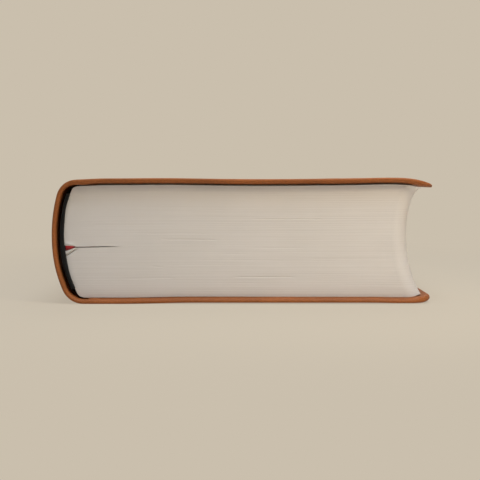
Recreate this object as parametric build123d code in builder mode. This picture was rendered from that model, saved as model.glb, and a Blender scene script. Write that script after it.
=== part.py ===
"""Thick flexible book: rounded page block, faux leather case with turned-in edges, ribbon marker.

Millimetres. The book lies on its lower cover at Z = 0, the spine at -X, the head at -Y.
"""
from build123d import *
import math
import os

# Pages
PAGE_WIDTH = 127.9
PAGE_HEIGHT = 207.0
BLOCK_THICKNESS = 41.4
BACK_RADIUS = 48.5
UPPER_BACK_CORNER = 2.2
LOWER_BACK_CORNER = 2.9
PAGE_CORNER = 6.0
UPPER_SHOULDER_X = -60.8
LEAN = 2.2
LAST_LEAF_CURL_RADIUS = 24.0
LAST_LEAF_CURL_LENGTH = 9.5

# Case: faux leather turned in over thin boards, endpapers pasted over the turn-ins
LEATHER = 0.6
BOARD = 0.8
ENDPAPER = 0.2
PAGE_CLEARANCE = 0.3
SQUARE = 3.5
TURN_IN = 14.0
ENDPAPER_MARGIN = 6.0
COVER_CORNER = 9.0
FOLD_ROUND = 0.6
UPPER_EDGE_X = 71.6
UPPER_BEND_RADIUS = 36.0
UPPER_BEND_LENGTH = 13.1
LOWER_EDGE_X = 71.2
LOWER_BEND_RADIUS = 10.5
LOWER_BEND_LENGTH = 5.0

# Back of the case, and the lines where the covers fold
SPINE_RADIUS = 57.2
UPPER_SHOULDER_RADIUS = 7.5
LOWER_SHOULDER_RADIUS = 8.0
JOINT_INSET = 2.0
JOINT_GAP = 0.3
BOARD_SETBACK = 7.0
ENDPAPER_SETBACK = 1.0

# Lining and bands on the pages' back
GLUE = 0.1
BAND_DEPTH = 10.5
BEAD_RADIUS = 0.8
BEAD_END_ANGLE = 2.0

# Ribbon marker
RIBBON_WIDTH = 10.0
RIBBON_THICKNESS = 0.3
RIBBON_HEIGHT = 21.05
RIBBON_SETBACK = 1.4
RIBBON_FOLD_LENGTH = 3.2
RIBBON_FOLD_HEIGHT = 1.7
RIBBON_FOLD_DEPTH = 5.0
RIBBON_EXIT = 4.5
RIBBON_DROOP_RADIUS = 11.0
RIBBON_DROOP_ANGLE = 72.0
RIBBON_DROP = 7.0

# Sizes that follow from those above
COVER = LEATHER + BOARD + LEATHER
PAGE_FLOOR = COVER + ENDPAPER + PAGE_CLEARANCE
PAGE_TOP = PAGE_FLOOR + BLOCK_THICKNESS
BOOK_THICKNESS = PAGE_TOP + PAGE_FLOOR
LINING = PAGE_FLOOR - COVER - GLUE
COVER_HEIGHT = PAGE_HEIGHT + 2 * SQUARE
LOWER_SHOULDER_X = UPPER_SHOULDER_X + LEAN
UPPER_JOINT_X = UPPER_SHOULDER_X + JOINT_INSET
LOWER_JOINT_X = LOWER_SHOULDER_X + JOINT_INSET
UPPER_BEND_X = UPPER_EDGE_X - UPPER_BEND_LENGTH
LOWER_BEND_X = LOWER_EDGE_X - LOWER_BEND_LENGTH


def polar(center, radius, angle):
    """Point at an angle in degrees on a circle of the X-Z section."""
    turn = math.radians(angle)
    return (center[0] + radius * math.cos(turn), center[1] + radius * math.sin(turn))


def angle_of(center, point):
    """Angle in degrees, 0 to 360, of a point seen from a centre."""
    return math.degrees(math.atan2(point[1] - center[1], point[0] - center[0])) % 360


def round_back(low, low_radius, high, high_radius, radius):
    """Centre of the arc that joins two shoulder arcs smoothly round a back."""
    to_low = radius - low_radius
    to_high = radius - high_radius
    dx = high[0] - low[0]
    dz = high[1] - low[1]
    span = math.hypot(dx, dz)
    along = (to_low ** 2 - to_high ** 2 + span ** 2) / (2 * span)
    out = math.sqrt(to_low ** 2 - along ** 2)
    return (low[0] + (dx * along + dz * out) / span, low[1] + (dz * along - dx * out) / span)


def spine_centers():
    """Centres of the case's lower shoulder, round back and upper shoulder arcs."""
    low = (LOWER_SHOULDER_X, LOWER_SHOULDER_RADIUS)
    high = (UPPER_SHOULDER_X, BOOK_THICKNESS - UPPER_SHOULDER_RADIUS)
    middle = round_back(low, LOWER_SHOULDER_RADIUS, high, UPPER_SHOULDER_RADIUS, SPINE_RADIUS)
    return low, middle, high


PAGE_LOW = (LOWER_SHOULDER_X, PAGE_FLOOR + LOWER_BACK_CORNER)
PAGE_HIGH = (UPPER_SHOULDER_X, PAGE_TOP - UPPER_BACK_CORNER)
BACK = round_back(PAGE_LOW, LOWER_BACK_CORNER, PAGE_HIGH, UPPER_BACK_CORNER, BACK_RADIUS)
BACK_TOP_ANGLE = angle_of(BACK, PAGE_HIGH)
BACK_LOW_ANGLE = angle_of(BACK, PAGE_LOW)
BACK_MID_ANGLE = (BACK_TOP_ANGLE + BACK_LOW_ANGLE) / 2
LINING_IN = BACK_RADIUS + GLUE
LINING_OUT = LINING_IN + LINING


def page_back(out):
    """Corner and middle points of the pages' back at a distance outside it, from below to above."""
    low_radius = LOWER_BACK_CORNER + out
    high_radius = UPPER_BACK_CORNER + out
    return [
        (LOWER_SHOULDER_X, PAGE_FLOOR - out),
        polar(PAGE_LOW, low_radius, (270 + BACK_LOW_ANGLE) / 2),
        polar(PAGE_LOW, low_radius, BACK_LOW_ANGLE),
        polar(BACK, BACK_RADIUS + out, BACK_MID_ANGLE),
        polar(PAGE_HIGH, high_radius, BACK_TOP_ANGLE),
        polar(PAGE_HIGH, high_radius, (90 + BACK_TOP_ANGLE) / 2),
        (UPPER_SHOULDER_X, PAGE_TOP + out),
    ]


def leaf_edge(height):
    """X of the fore-edge of the leaf at a height: the back's arc moved by the page width."""
    return BACK[0] + PAGE_WIDTH - math.sqrt(BACK_RADIUS ** 2 - (height - BACK[1]) ** 2)


def spine_path(depth):
    """Corner and middle points of the case's back at a depth under its outer face, from below to above."""
    low, round_back, high = spine_centers()
    low_angle = angle_of(round_back, low)
    high_angle = angle_of(round_back, high)
    low_radius = LOWER_SHOULDER_RADIUS - depth
    high_radius = UPPER_SHOULDER_RADIUS - depth
    back_radius = SPINE_RADIUS - depth
    return [
        (LOWER_JOINT_X - JOINT_GAP / 2, depth),
        (LOWER_SHOULDER_X, depth),
        polar(low, low_radius, (270 + low_angle) / 2),
        polar(low, low_radius, low_angle),
        polar(round_back, back_radius, (low_angle + high_angle) / 2),
        polar(high, high_radius, high_angle),
        polar(high, high_radius, (90 + high_angle) / 2),
        (UPPER_SHOULDER_X, BOOK_THICKNESS - depth),
        (UPPER_JOINT_X - JOINT_GAP / 2, BOOK_THICKNESS - depth),
    ]


def spine_sheet(outer, inner, start, end):
    """Sheet of the case's back between two depths, from one Y to another."""
    near = spine_path(outer)
    far = spine_path(inner)
    with BuildPart() as sheet:
        with BuildSketch(Plane.XZ.offset(-start)):
            with BuildLine():
                for path in (near, far):
                    Line(path[0], path[1])
                    ThreePointArc(path[1], path[2], path[3])
                    ThreePointArc(path[3], path[4], path[5])
                    ThreePointArc(path[5], path[6], path[7])
                    Line(path[7], path[8])
                Line(near[0], far[0])
                Line(near[8], far[8])
            make_face()
        extrude(amount=start - end)
    return sheet.part


def cover_sheet(upper, outer, inner, margin, setback):
    """Sheet of one cover between two depths, inside a margin on three edges and a setback at its joint."""
    joint = UPPER_JOINT_X if upper else LOWER_JOINT_X
    edge = UPPER_EDGE_X if upper else LOWER_EDGE_X
    bend = UPPER_BEND_X if upper else LOWER_BEND_X
    radius = UPPER_BEND_RADIUS if upper else LOWER_BEND_RADIUS
    turn = math.degrees(math.asin((edge - bend + 1) / (radius - inner)))
    face = BOOK_THICKNESS if upper else 0.0
    inward = -1 if upper else 1
    center = (bend, face + inward * radius)
    square_on = -90 * inward
    start = joint + JOINT_GAP / 2 + setback
    half = COVER_HEIGHT / 2 - margin
    with BuildPart() as sheet:
        with BuildSketch(Plane.XZ):
            with BuildLine():
                for depth in (outer, inner):
                    Line((start, face + inward * depth), (bend, face + inward * depth))
                    ThreePointArc(
                        (bend, face + inward * depth),
                        polar(center, radius - depth, square_on + inward * turn / 2),
                        polar(center, radius - depth, square_on + inward * turn),
                    )
                Line((start, face + inward * outer), (start, face + inward * inner))
                Line(
                    polar(center, radius - outer, square_on + inward * turn),
                    polar(center, radius - inner, square_on + inward * turn),
                )
            make_face()
        extrude(amount=half, both=True)
        with BuildSketch(Plane.XY.offset(-BOOK_THICKNESS)) as plan:
            with BuildLine():
                Polyline(
                    (start, -half), (edge - margin, -half), (edge - margin, half), (start, half), close=True
                )
            make_face()
            fillet(plan.vertices().group_by(Axis.X)[-1], radius=max(COVER_CORNER - margin, 1.0))
        extrude(amount=3 * BOOK_THICKNESS, mode=Mode.INTERSECT)
    return sheet.part


def edge_folds(solid, joint):
    """Long edges of a plain cover sheet where the leather is folded, not those at its joint or bend line."""
    return [
        edge
        for edge in solid.edges()
        if edge.center().X > joint + 1 and COVER * 1.25 < edge.length < COVER_HEIGHT - 1
    ]


def back_band(inner, outer, start_angle, end_angle, start, end):
    """Sheet lying on the pages' rounded back between two radii, two angles and two Y values."""
    middle = (start_angle + end_angle) / 2
    with BuildPart() as band:
        with BuildSketch(Plane.XZ.offset(-start)):
            with BuildLine():
                for radius in (inner, outer):
                    ThreePointArc(
                        polar(BACK, radius, start_angle),
                        polar(BACK, radius, middle),
                        polar(BACK, radius, end_angle),
                    )
                for angle in (start_angle, end_angle):
                    Line(polar(BACK, inner, angle), polar(BACK, outer, angle))
            make_face()
        extrude(amount=start - end)
    return band.part


# Ribbon section in X and Z: it enters between the pages at the back
RIBBON_BACK_X = BACK[0] - math.sqrt(BACK_RADIUS ** 2 - (RIBBON_HEIGHT - BACK[1]) ** 2)
RIBBON_X = RIBBON_BACK_X + RIBBON_SETBACK
RIBBON_LOW = RIBBON_HEIGHT - RIBBON_THICKNESS / 2
RIBBON_HIGH = RIBBON_HEIGHT + RIBBON_THICKNESS / 2

with BuildPart() as ribbon_fold:
    with BuildSketch(Plane.XZ.offset(PAGE_HEIGHT / 2)):
        with BuildLine():
            Polyline(
                (RIBBON_BACK_X + LINING, RIBBON_HEIGHT - RIBBON_FOLD_HEIGHT / 2),
                (RIBBON_BACK_X + RIBBON_FOLD_LENGTH, RIBBON_LOW),
                (RIBBON_X + RIBBON_WIDTH, RIBBON_LOW),
                (RIBBON_X + RIBBON_WIDTH, RIBBON_HIGH),
                (RIBBON_BACK_X + RIBBON_FOLD_LENGTH, RIBBON_HIGH),
                (RIBBON_BACK_X + LINING, RIBBON_HEIGHT + RIBBON_FOLD_HEIGHT / 2),
                close=True,
            )
        make_face()
    extrude(amount=-RIBBON_FOLD_DEPTH)

with BuildPart() as ribbon_marker:
    with BuildSketch(Plane.YZ.offset(RIBBON_X)):
        with BuildLine() as ribbon_line:
            inside = Line(
                (RIBBON_FOLD_DEPTH - PAGE_HEIGHT / 2, RIBBON_HEIGHT),
                (PAGE_HEIGHT / 2 + RIBBON_EXIT, RIBBON_HEIGHT),
            )
            droop = JernArc(inside @ 1, inside % 1, RIBBON_DROOP_RADIUS, -RIBBON_DROOP_ANGLE)
            Line(droop @ 1, droop @ 1 + (droop % 1) * RIBBON_DROP)
        trace(line_width=RIBBON_THICKNESS)
    extrude(amount=RIBBON_WIDTH)
    add(ribbon_fold.part)

with BuildPart() as ribbon_room:
    with BuildSketch(Plane.YZ.offset(RIBBON_X)):
        with Locations((0, RIBBON_HEIGHT)):
            Rectangle(PAGE_HEIGHT + 2, RIBBON_THICKNESS)
    extrude(amount=RIBBON_WIDTH)
    add(ribbon_fold.part)

# Page block: equal leaves fanned along the arc of the back, kept between the two covers
with BuildPart() as text_block:
    with BuildSketch(Plane.XZ) as leaves:
        with BuildLine():
            back = page_back(0)
            for first in (0, 2, 4):
                ThreePointArc(back[first], back[first + 1], back[first + 2])
            ThreePointArc(
                (leaf_edge(PAGE_TOP), PAGE_TOP),
                (leaf_edge(BACK[1]), BACK[1]),
                (leaf_edge(PAGE_FLOOR), PAGE_FLOOR),
            )
            Line(back[6], (leaf_edge(PAGE_TOP), PAGE_TOP))
            Line(back[0], (leaf_edge(PAGE_FLOOR), PAGE_FLOOR))
        make_face()
        with BuildLine():
            curl_x = leaf_edge(PAGE_FLOOR) - LAST_LEAF_CURL_LENGTH
            curl = (curl_x, PAGE_FLOOR + LAST_LEAF_CURL_RADIUS)
            droop_center = (UPPER_BEND_X, BOOK_THICKNESS - UPPER_BEND_RADIUS)
            droop_radius = UPPER_BEND_RADIUS - PAGE_FLOOR
            low = Line((UPPER_SHOULDER_X - 20, PAGE_FLOOR), (curl_x, PAGE_FLOOR))
            low_curl = ThreePointArc(
                low @ 1,
                polar(curl, LAST_LEAF_CURL_RADIUS, -75),
                polar(curl, LAST_LEAF_CURL_RADIUS, -60),
            )
            high = Line((UPPER_SHOULDER_X - 20, PAGE_TOP), (UPPER_BEND_X, PAGE_TOP))
            high_curl = ThreePointArc(
                high @ 1,
                polar(droop_center, droop_radius, 75),
                polar(droop_center, droop_radius, 60),
            )
            Line(low @ 0, high @ 0)
            Line(low_curl @ 1, high_curl @ 1)
        make_face(mode=Mode.INTERSECT)
    extrude(amount=PAGE_HEIGHT / 2, both=True)
    fore_edge = text_block.faces().filter_by(GeomType.CYLINDER).sort_by(Axis.X)[-1]
    corners = [edge for edge in fore_edge.edges() if abs(abs(edge.center().Y) - PAGE_HEIGHT / 2) < 0.01]
    fillet(corners, radius=PAGE_CORNER)
    add(ribbon_room.part, mode=Mode.SUBTRACT)

# Lining glued on the back, with a foot at each shoulder that reaches the case beside its joint
lining_half = PAGE_HEIGHT / 2 - BAND_DEPTH
foot_width = JOINT_INSET - JOINT_GAP
with BuildPart() as spine_lining:
    with BuildSketch(Plane.XZ):
        near_pages = page_back(GLUE)
        near_case = page_back(GLUE + LINING)
        with BuildLine():
            for path in (near_pages, near_case):
                for first in (0, 2, 4):
                    ThreePointArc(path[first], path[first + 1], path[first + 2])
            Line(near_pages[0], near_case[0])
            Line(near_pages[6], near_case[6])
        make_face()
        for shoulder, height in (
            (LOWER_SHOULDER_X, (COVER + PAGE_FLOOR) / 2),
            (UPPER_SHOULDER_X, BOOK_THICKNESS - (COVER + PAGE_FLOOR) / 2),
        ):
            with Locations((shoulder + foot_width / 2, height)):
                Rectangle(foot_width, PAGE_FLOOR - COVER)
    extrude(amount=lining_half, both=True)

# Corded bands at the head and the foot of the back: a tape on the back and a bead on its outer edge
bead_first = BACK_TOP_ANGLE + BEAD_END_ANGLE
bead_last = BACK_LOW_ANGLE - BEAD_END_ANGLE
bead_y = PAGE_HEIGHT / 2 + BEAD_RADIUS
bead_center = polar(BACK, LINING_OUT, bead_first)
bead_way = (-math.sin(math.radians(bead_first)), 0, math.cos(math.radians(bead_first)))
back_axis = Axis((BACK[0], 0, BACK[1]), (0, -1, 0))
head_tape = back_band(LINING_IN, LINING_OUT, bead_first, bead_last, -bead_y, -lining_half)
with BuildPart() as head_band:
    add(head_tape)
    with BuildSketch(Plane((bead_center[0], -bead_y, bead_center[1]), x_dir=(0, 1, 0), z_dir=bead_way)):
        Circle(BEAD_RADIUS)
    revolve(axis=back_axis, revolution_arc=bead_last - bead_first)

tail_tape = back_band(LINING_IN, LINING_OUT, bead_first, bead_last, lining_half, bead_y)
with BuildPart() as tail_band:
    add(tail_tape)
    with BuildSketch(Plane((bead_center[0], bead_y, bead_center[1]), x_dir=(0, 1, 0), z_dir=bead_way)):
        Circle(BEAD_RADIUS)
    revolve(axis=back_axis, revolution_arc=bead_last - bead_first)

# Back of the case
spine_end = COVER_HEIGHT / 2
spine_skin = spine_sheet(0, COVER, -spine_end, spine_end)
spine_pocket = spine_sheet(LEATHER, LEATHER + BOARD, LEATHER - spine_end, spine_end - LEATHER)
spine_opening = spine_sheet(LEATHER + BOARD, COVER, TURN_IN - spine_end, spine_end - TURN_IN)
with BuildPart() as spine_leather:
    add(spine_skin)
    end_edges = [edge for edge in spine_leather.edges() if abs(abs(edge.center().Y) - spine_end) < 0.01]
    fillet([edge for edge in end_edges if edge.length > COVER * 1.25], radius=FOLD_ROUND)
    add(spine_pocket, mode=Mode.SUBTRACT)
    add(spine_opening, mode=Mode.SUBTRACT)
with BuildPart() as spine_inlay:
    add(spine_pocket)


# Upper cover: leather folded round three edges and turned in, board, endpaper over the turn-ins
upper_skin = cover_sheet(True, 0, COVER, 0, 0)
upper_pocket = cover_sheet(True, LEATHER, LEATHER + BOARD, LEATHER, BOARD_SETBACK)
upper_opening = cover_sheet(True, LEATHER + BOARD, COVER + 1, TURN_IN, -1)
with BuildPart() as upper_leather:
    add(upper_skin)
    fillet(edge_folds(upper_leather.part, UPPER_JOINT_X), radius=FOLD_ROUND)
    add(upper_pocket, mode=Mode.SUBTRACT)
    add(upper_opening, mode=Mode.SUBTRACT)

with BuildPart() as upper_board:
    add(upper_pocket)

upper_rim = cover_sheet(True, COVER, COVER + ENDPAPER, ENDPAPER_MARGIN, ENDPAPER_SETBACK)
upper_well = cover_sheet(True, LEATHER + BOARD, COVER + ENDPAPER, TURN_IN, ENDPAPER_SETBACK)
upper_hollow = cover_sheet(True, LEATHER + BOARD + ENDPAPER, COVER + 1, TURN_IN + ENDPAPER, -1)
with BuildPart() as upper_pastedown:
    add(upper_rim)
    add(upper_well)
    add(upper_hollow, mode=Mode.SUBTRACT)

# Lower cover, made the same way
lower_skin = cover_sheet(False, 0, COVER, 0, 0)
lower_pocket = cover_sheet(False, LEATHER, LEATHER + BOARD, LEATHER, BOARD_SETBACK)
lower_opening = cover_sheet(False, LEATHER + BOARD, COVER + 1, TURN_IN, -1)
with BuildPart() as lower_leather:
    add(lower_skin)
    fillet(edge_folds(lower_leather.part, LOWER_JOINT_X), radius=FOLD_ROUND)
    add(lower_pocket, mode=Mode.SUBTRACT)
    add(lower_opening, mode=Mode.SUBTRACT)

with BuildPart() as lower_board:
    add(lower_pocket)

lower_rim = cover_sheet(False, COVER, COVER + ENDPAPER, ENDPAPER_MARGIN, ENDPAPER_SETBACK)
lower_well = cover_sheet(False, LEATHER + BOARD, COVER + ENDPAPER, TURN_IN, ENDPAPER_SETBACK)
lower_hollow = cover_sheet(False, LEATHER + BOARD + ENDPAPER, COVER + 1, TURN_IN + ENDPAPER, -1)
with BuildPart() as lower_pastedown:
    add(lower_rim)
    add(lower_well)
    add(lower_hollow, mode=Mode.SUBTRACT)

os.makedirs("parts", exist_ok=True)

text_block.part.label = "text_block"
export_step(text_block.part, "parts/text_block.step")
spine_lining.part.label = "spine_lining"
export_step(spine_lining.part, "parts/spine_lining.step")
head_band.part.label = "head_band"
export_step(head_band.part, "parts/head_band.step")
tail_band.part.label = "tail_band"
export_step(tail_band.part, "parts/tail_band.step")
ribbon_marker.part.label = "ribbon_marker"
export_step(ribbon_marker.part, "parts/ribbon_marker.step")
spine_leather.part.label = "spine_leather"
export_step(spine_leather.part, "parts/spine_leather.step")
spine_inlay.part.label = "spine_inlay"
export_step(spine_inlay.part, "parts/spine_inlay.step")
upper_leather.part.label = "upper_leather"
export_step(upper_leather.part, "parts/upper_leather.step")
upper_board.part.label = "upper_board"
export_step(upper_board.part, "parts/upper_board.step")
upper_pastedown.part.label = "upper_pastedown"
export_step(upper_pastedown.part, "parts/upper_pastedown.step")
lower_leather.part.label = "lower_leather"
export_step(lower_leather.part, "parts/lower_leather.step")
lower_board.part.label = "lower_board"
export_step(lower_board.part, "parts/lower_board.step")
lower_pastedown.part.label = "lower_pastedown"
export_step(lower_pastedown.part, "parts/lower_pastedown.step")
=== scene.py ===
import math
import random

import bmesh
import bpy
from bpy.props import FloatProperty, FloatVectorProperty, IntProperty, PointerProperty
from mathutils import Matrix, Vector, noise


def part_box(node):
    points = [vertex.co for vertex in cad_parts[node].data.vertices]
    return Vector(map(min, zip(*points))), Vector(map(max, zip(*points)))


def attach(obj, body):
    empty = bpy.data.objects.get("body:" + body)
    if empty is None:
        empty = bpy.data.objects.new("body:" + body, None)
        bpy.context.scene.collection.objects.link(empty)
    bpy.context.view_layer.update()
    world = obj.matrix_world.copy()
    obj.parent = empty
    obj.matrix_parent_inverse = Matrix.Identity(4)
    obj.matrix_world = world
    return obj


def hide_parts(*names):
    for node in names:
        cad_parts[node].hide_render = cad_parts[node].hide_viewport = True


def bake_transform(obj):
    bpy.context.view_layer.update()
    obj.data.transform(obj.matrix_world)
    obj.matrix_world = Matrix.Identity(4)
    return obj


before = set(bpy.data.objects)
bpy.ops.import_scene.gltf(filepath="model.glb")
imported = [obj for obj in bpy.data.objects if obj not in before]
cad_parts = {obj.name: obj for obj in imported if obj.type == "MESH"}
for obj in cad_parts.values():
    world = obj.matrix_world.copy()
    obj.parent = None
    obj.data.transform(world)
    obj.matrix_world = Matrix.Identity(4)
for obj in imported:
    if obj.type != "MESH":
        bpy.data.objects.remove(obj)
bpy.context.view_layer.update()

bl_info = {
    "name": "Faux leather bible",
    "version": (1, 0, 0),
    "blender": (4, 5, 0),
    "location": "View3D > Sidebar > Book",
    "description": "Leather case, leaves, end bands, ribbon marker and endpapers of a thick flexible book",
    "category": "Add Mesh",
}

MM = 0.001
WAVE = 0.314  # scale of a wave texture that repeats once in a metre
SAME = 1e-6  # places closer than this are one place
TINT = {"data_type": "RGBA", "blend_type": "MULTIPLY"}  # mix node that tints one colour with another


def linear(code):
    """Linear RGB of an sRGB hex colour."""
    channels = [int(code[i:i + 2], 16) / 255 for i in (1, 3, 5)]
    return [c / 12.92 if c <= 0.04045 else ((c + 0.055) / 1.055) ** 2.4 for c in channels]


WHITE = linear("#FFFFFF")


def length(name, description, millimetres):
    """Length property, given in millimetres and kept in metres."""
    return FloatProperty(
        name=name, description=description, default=millimetres * MM, unit="LENGTH", precision=5
    )


def colour(name, description, code):
    """Colour property, given as an sRGB hex value."""
    return FloatVectorProperty(
        name=name, description=description, default=linear(code), subtype="COLOR", size=3, min=0, max=1
    )


class BookPages(bpy.types.PropertyGroup):
    """Page block: equal leaves fanned along the arc of the back."""

    width: length("Page width", "From the back to the fore-edge", 127.9)
    height: length("Page height", "From head to foot", 207.0)
    back_radius: length("Back radius", "Rounding of the back and hollow of the fore-edge", 48.5)
    upper_back_corner: length("Upper back corner", "Rounding of the back into the top leaf", 2.2)
    lower_back_corner: length("Lower back corner", "Rounding of the back into the last leaf", 2.9)
    shoulder_x: length("Upper shoulder", "X of the top leaf's back edge", -60.8)
    lean: length("Lean", "How far the last leaf sits to the right of the first", 2.2)
    corner: length("Page corner", "Radius of the trimmed corners", 6.0)
    curl_radius: length("Last leaf curl", "Bend of the last leaves at the fore-edge", 40.0)
    curl_length: length("Curl length", "How far in from the fore-edge the last leaves bend", 7.0)
    flare: length("First leaf flare", "How far the first leaves splay out at the fore-edge", 1.8)
    rows: IntProperty(
        name="Rows of leaves", description="Rows that show the leaves' edges", default=132, min=20
    )
    colour: colour("Page edge", "Trimmed edge of thin off-white paper", "#D7D2CE")
    leaf_colour: colour("Leaf", "Face of the first and last leaf", "#E9E0CF")
    end_colour: colour("Endpaper", "Heavier endpaper pasted to the covers", "#E4DAC6")


class BookCase(bpy.types.PropertyGroup):
    """Faux leather case: two flexible covers and a rounded hollow back."""

    leather: length("Leather", "Thickness of the leathercloth", 0.6)
    board: length("Board", "Thickness of the board in the covers", 0.8)
    endpaper: length("Endpaper", "Thickness of the endpaper", 0.2)
    square: length("Square", "Cover beyond the pages at head and foot", 3.5)
    turn_in: length("Turn-in", "Leather folded over the board's edges", 14.0)
    margin: length("Endpaper margin", "Turned-in leather that the endpaper leaves bare", 6.0)
    corner: length("Cover corner", "Radius of the covers' corners", 9.0)
    fold: length("Fold", "Rounding of the leather over an edge", 0.85)
    board_setback: length("Board setback", "How far the boards stop short of the case's edges", 3.2)
    upper_edge: length("Upper edge", "X of the upper cover's fore-edge", 71.6)
    upper_bend: length("Upper bend radius", "Radius of the drooping edge", 36.0)
    upper_reach: length("Upper bend length", "How far in the upper edge starts to droop", 13.1)
    lower_edge: length("Lower edge", "X of the lower cover's fore-edge", 71.2)
    lower_bend: length("Lower bend radius", "Radius of the lifted edge", 10.5)
    lower_reach: length("Lower bend length", "How far in the lower edge starts to lift", 5.0)
    spine_radius: length("Spine radius", "Rounding of the back", 57.2)
    upper_shoulder: length("Upper shoulder", "Rounding from the back to the upper cover", 7.5)
    lower_shoulder: length("Lower shoulder", "Rounding from the back to the lower cover", 8.0)
    joint: length("Joint", "From a shoulder to the line where the cover folds", 2.0)
    flex: length("Flex", "Width of leather that bends at a joint", 7.0)
    colour: colour("Leather", "Brown leathercloth", "#9A5B30")
    # painted shade: the valleys of the pebble grain are drawn in this darker brown
    valley_shade_colour: colour("Leather valleys", "Darker brown in the grain", "#6B3E21")
    card_colour: colour("Board", "Grey board and card in the case", "#8C8276")


class BookTrim(bpy.types.PropertyGroup):
    """End bands, lining and ribbon marker."""

    ribbon_width: length("Ribbon width", "Width of the ribbon", 10.0)
    ribbon_thickness: length("Ribbon thickness", "Thickness of the ribbon", 0.3)
    ribbon_height: length("Ribbon height", "Height at which it lies between the pages", 21.05)
    ribbon_setback: length("Ribbon setback", "From the pages' back to the ribbon", 1.4)
    fold_length: length("Fold length", "Reach of the folded ribbon at the head", 3.2)
    fold_height: length("Fold height", "Height of the folded ribbon at the head", 1.7)
    exit: length("Ribbon exit", "Straight run out of the foot", 4.5)
    droop: length("Ribbon droop", "Radius of its droop at the foot", 11.0)
    droop_angle: FloatProperty(
        name="Droop angle", description="Turn of the droop", default=math.radians(72), subtype="ANGLE"
    )
    drop: length("Ribbon drop", "Straight end of the ribbon", 7.0)
    bead: length("Bead", "Radius of the end bands' corded bead", 0.8)
    lining: length("Lining", "Glue and cloth on the pages' back", 0.5)
    thread: length("Thread pitch", "Pitch of the thread wound on the bead", 0.55)
    ribbon_colour: colour("Ribbon", "Red satin", "#A5161C")
    # near black: the thread's own black with painted shade of the hollow back, darker than black thread is
    band_thread_and_shade: colour("End band", "Black cotton thread", "#09090B")
    # near black: the cloth's own black with painted shade of the hollow back, darker than black cloth is
    lining_cloth_and_shade: colour("Lining", "Black cloth on the pages' back", "#101012")


class BookStage(bpy.types.PropertyGroup):
    """Camera, floor and backdrop."""

    distance: length("Camera distance", "From the head of the covers to the camera", 400.0)
    eye_height: length("Camera height", "Height above the floor", 46.0)
    across: length("Frame width", "Width of the picture at the head of the covers", 176.45)
    centre_x: length("Frame centre X", "X at the middle of the picture", -0.57)
    centre_z: length("Frame centre Z", "Z at the middle of the picture", 23.75)
    backdrop: colour("Backdrop", "Plain beige of the floor and the backdrop", "#CABFAD")
    bounce: colour("Floor bounce", "Pale floor as it throws light back", "#EEE5D5")


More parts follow.
